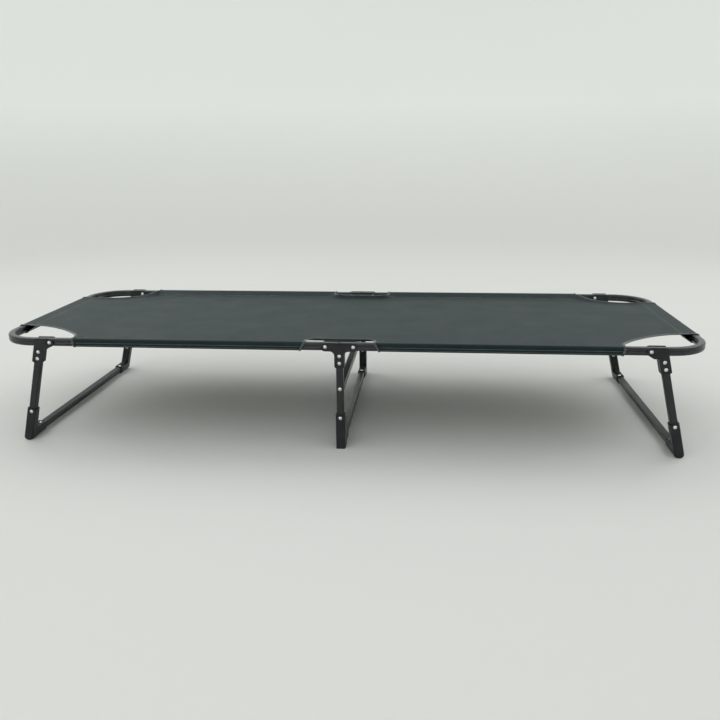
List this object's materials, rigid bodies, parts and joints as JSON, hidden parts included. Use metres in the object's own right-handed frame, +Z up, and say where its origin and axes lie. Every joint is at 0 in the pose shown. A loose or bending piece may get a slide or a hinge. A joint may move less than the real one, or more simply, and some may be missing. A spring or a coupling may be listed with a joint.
{
  "type": "folding cot",
  "caption": "Low folding cot: fabric deck sewn round U-shaped tube rails that fold down over a fixed middle leg, with splayed folding end legs.",
  "frame": {"origin": "on the floor, under the middle of the cot, halfway between the two rails", "axes": "+X along the cot, +Y across it towards the rear rail, +Z up"},
  "size_m": [1.904, 0.7, 0.2975],
  "materials": {
    "rail_paint": "semi-gloss black powder coat",
    "leg_paint": "satin black powder coat",
    "moulded_black": "fine-grained black moulded plastic",
    "rivet_steel": "bright zinc-plated domed rivet",
    "deck_fabric": "dark slate-green woven polyester"
  },
  "bodies": {
    "middle_leg": {"brace_plugs": "moulded_black", "brace_screws": "rivet_steel", "middle_brace": "leg_paint", "middle_bracket_front": "moulded_black", "middle_bracket_rear": "moulded_black", "middle_bracket_rivets": "rivet_steel", "middle_crossbar": "leg_paint", "middle_elbow_front": "moulded_black", "middle_elbow_rear": "moulded_black", "middle_elbow_rivets": "rivet_steel", "middle_pivots": "rivet_steel", "middle_upright_front": "leg_paint", "middle_upright_rear": "leg_paint"},
    "left_frame": {"left_deck": "deck_fabric", "left_rail": "rail_paint"},
    "right_frame": {"right_deck": "deck_fabric", "right_rail": "rail_paint"},
    "left_leg": {"left_leg_bracket_front": "moulded_black", "left_leg_bracket_rear": "moulded_black", "left_leg_bracket_rivets": "rivet_steel", "left_leg_crossbar": "leg_paint", "left_leg_elbow_front": "moulded_black", "left_leg_elbow_rear": "moulded_black", "left_leg_elbow_rivets": "rivet_steel", "left_leg_pivots": "rivet_steel", "left_leg_upright_front": "leg_paint", "left_leg_upright_rear": "leg_paint"},
    "right_leg": {"right_leg_bracket_front": "moulded_black", "right_leg_bracket_rear": "moulded_black", "right_leg_bracket_rivets": "rivet_steel", "right_leg_crossbar": "leg_paint", "right_leg_elbow_front": "moulded_black", "right_leg_elbow_rear": "moulded_black", "right_leg_elbow_rivets": "rivet_steel", "right_leg_pivots": "rivet_steel", "right_leg_upright_front": "leg_paint", "right_leg_upright_rear": "leg_paint"}
  },
  "joints": [
    {"name": "left_frame_fold", "type": "hinge", "parent": "middle_leg", "child": "left_frame", "pos_m": [-0.037, 0, 0.285], "axis": [0, -1, 0], "range_deg": [0, 89.5]},
    {"name": "right_frame_fold", "type": "hinge", "parent": "middle_leg", "child": "right_frame", "pos_m": [0.037, 0, 0.285], "axis": [0, 1, 0], "range_deg": [0, 89.5]},
    {"name": "left_leg_fold", "type": "hinge", "parent": "left_frame", "child": "left_leg", "pos_m": [-0.7885, 0, 0.285], "axis": [0, -1, 0], "range_deg": [0, 104]},
    {"name": "right_leg_fold", "type": "hinge", "parent": "right_frame", "child": "right_leg", "pos_m": [0.7885, 0, 0.285], "axis": [0, 1, 0], "range_deg": [0, 104]}
  ],
  "couplings": [
    {"joint": "left_leg_fold", "follows": "left_frame_fold", "ratio": 1.162},
    {"joint": "right_leg_fold", "follows": "right_frame_fold", "ratio": 1.162}
  ]
}
